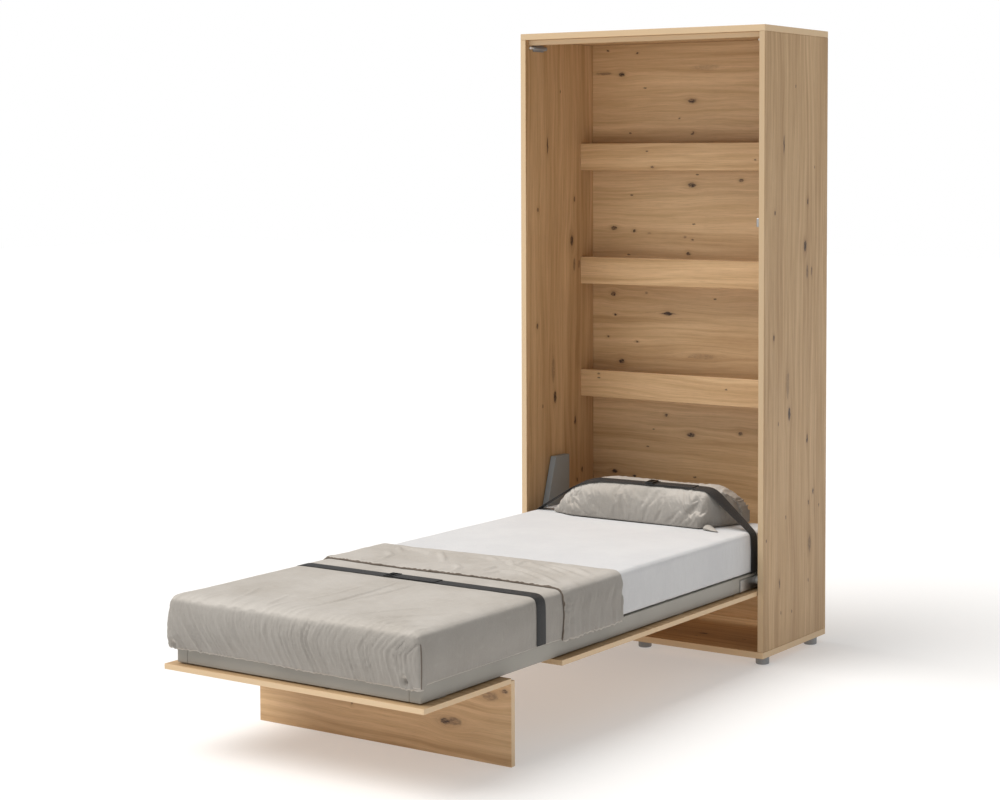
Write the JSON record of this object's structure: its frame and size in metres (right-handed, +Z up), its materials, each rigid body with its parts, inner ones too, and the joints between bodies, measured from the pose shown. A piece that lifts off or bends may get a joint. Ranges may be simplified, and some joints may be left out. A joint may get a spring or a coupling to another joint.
{
  "type": "vertical folding wall bed",
  "caption": "Vertical single wall bed: open wooden cabinet, a bed that swings down on sprung pivots, and a leg board that folds flush into its front.",
  "frame": {"origin": "on the floor, at the middle of the open bed's outer box", "axes": "+Z up, +X to the right when facing the cabinet, the bed reaches out along -Y and the cabinet's back faces +Y"},
  "size_m": [1.006, 2.28, 2.178],
  "materials": {
    "oak_board": "light knotty oak decor board, satin",
    "birch_slats": "lacquered birch, satin",
    "frame_paint": "warm grey powder coat, fine satin",
    "bare_steel": "zinc plated steel",
    "black_metal": "black gloss enamel",
    "grey_plastic": "grey moulded plastic",
    "pale_plastic": "pale moulded plastic",
    "black_plastic": "black moulded plastic",
    "white_sheet": "white cotton sheet, fine weave",
    "beige_linen": "beige-grey washed linen",
    "black_webbing": "black woven webbing"
  },
  "bodies": {
    "cabinet": {"side_panel_left": "oak_board", "side_panel_right": "oak_board", "top_panel": "oak_board", "bottom_panel": "oak_board", "back_panel_1": "oak_board", "back_panel_2": "oak_board", "back_panel_3": "oak_board", "back_panel_4": "oak_board", "cross_rail_1": "oak_board", "cross_rail_2": "oak_board", "cross_rail_3": "oak_board", "top_batten": "oak_board", "stop_catch": "bare_steel", "foot_front_left": "grey_plastic", "foot_front_middle": "grey_plastic", "foot_front_right": "grey_plastic", "foot_back_left": "grey_plastic", "foot_back_middle": "grey_plastic", "foot_back_right": "grey_plastic", "damper_body_left": "grey_plastic", "mechanism_plate_left": "bare_steel", "mechanism_cover_left": "frame_paint", "pivot_pin_left": "bare_steel", "pivot_spacer_left": "pale_plastic", "damper_body_right": "grey_plastic", "mechanism_plate_right": "bare_steel", "mechanism_cover_right": "frame_paint", "pivot_pin_right": "bare_steel", "pivot_spacer_right": "pale_plastic"},
    "bed": {"frame_side_left": "frame_paint", "frame_side_right": "frame_paint", "frame_foot_rail": "frame_paint", "frame_leg_rail": "frame_paint", "frame_middle_rail": "frame_paint", "frame_head_rail": "frame_paint", "slat_deck": "birch_slats", "front_board_foot": "oak_board", "front_board_head": "oak_board", "swing_lever_left": "bare_steel", "leg_hinge_frame_left": "bare_steel", "swing_lever_right": "bare_steel", "leg_hinge_frame_right": "bare_steel", "mattress": "white_sheet", "blanket": "beige_linen", "pillow": "beige_linen", "foot_strap": "black_webbing", "head_strap": "black_webbing", "foot_buckle": "black_plastic", "head_buckle": "black_plastic"},
    "leg": {"leg_board": "oak_board", "leg_hinge_leg_left": "bare_steel", "leg_hinge_leg_right": "bare_steel"},
    "gas_cylinder_left": {"gas_cylinder_left": "black_metal"},
    "gas_rod_left": {"gas_rod_left": "bare_steel"},
    "damper_plunger_left": {"damper_plunger_left": "pale_plastic"},
    "gas_cylinder_right": {"gas_cylinder_right": "black_metal"},
    "gas_rod_right": {"gas_rod_right": "bare_steel"},
    "damper_plunger_right": {"damper_plunger_right": "pale_plastic"}
  },
  "joints": [
    {"name": "bed_fold", "type": "hinge", "parent": "cabinet", "child": "bed", "pos_m": [0, 0.726, 0.287], "axis": [-1, 0, 0], "range_deg": [0, 90]},
    {"name": "leg_fold", "type": "hinge", "parent": "bed", "child": "leg", "pos_m": [0, -0.7366, 0.2454], "axis": [1, 0, 0], "range_deg": [0, 90]},
    {"name": "gas_spring_swing_left", "type": "hinge", "parent": "cabinet", "child": "gas_cylinder_left", "pos_m": [-0.4665, 0.87, 0.585], "axis": [-1, 0, 0], "range_deg": [0, 3.01]},
    {"name": "gas_rod_slide_left", "type": "slide", "parent": "gas_cylinder_left", "child": "gas_rod_left", "axis": [0, -0.2581, -0.9661], "range_m": [0, 0.1047]},
    {"name": "gas_spring_swing_right", "type": "hinge", "parent": "cabinet", "child": "gas_cylinder_right", "pos_m": [0.4665, 0.87, 0.585], "axis": [-1, 0, 0], "range_deg": [0, 3.01]},
    {"name": "gas_rod_slide_right", "type": "slide", "parent": "gas_cylinder_right", "child": "gas_rod_right", "axis": [0, -0.2581, -0.9661], "range_m": [0, 0.1047]},
    {"name": "damper_press_left", "type": "slide", "parent": "cabinet", "child": "damper_plunger_left", "axis": [0, 1, 0], "range_m": [0, 0.006], "stiffness_N_per_m": 300},
    {"name": "damper_press_right", "type": "slide", "parent": "cabinet", "child": "damper_plunger_right", "axis": [0, 1, 0], "range_m": [0, 0.006], "stiffness_N_per_m": 300}
  ],
  "couplings": [
    {"joint": "gas_spring_swing_left", "follows": "bed_fold", "ratio": 0.033366},
    {"joint": "gas_rod_slide_left", "follows": "bed_fold", "m_per_rad": 0.066612},
    {"joint": "gas_spring_swing_right", "follows": "bed_fold", "ratio": 0.033366},
    {"joint": "gas_rod_slide_right", "follows": "bed_fold", "m_per_rad": 0.066612}
  ]
}
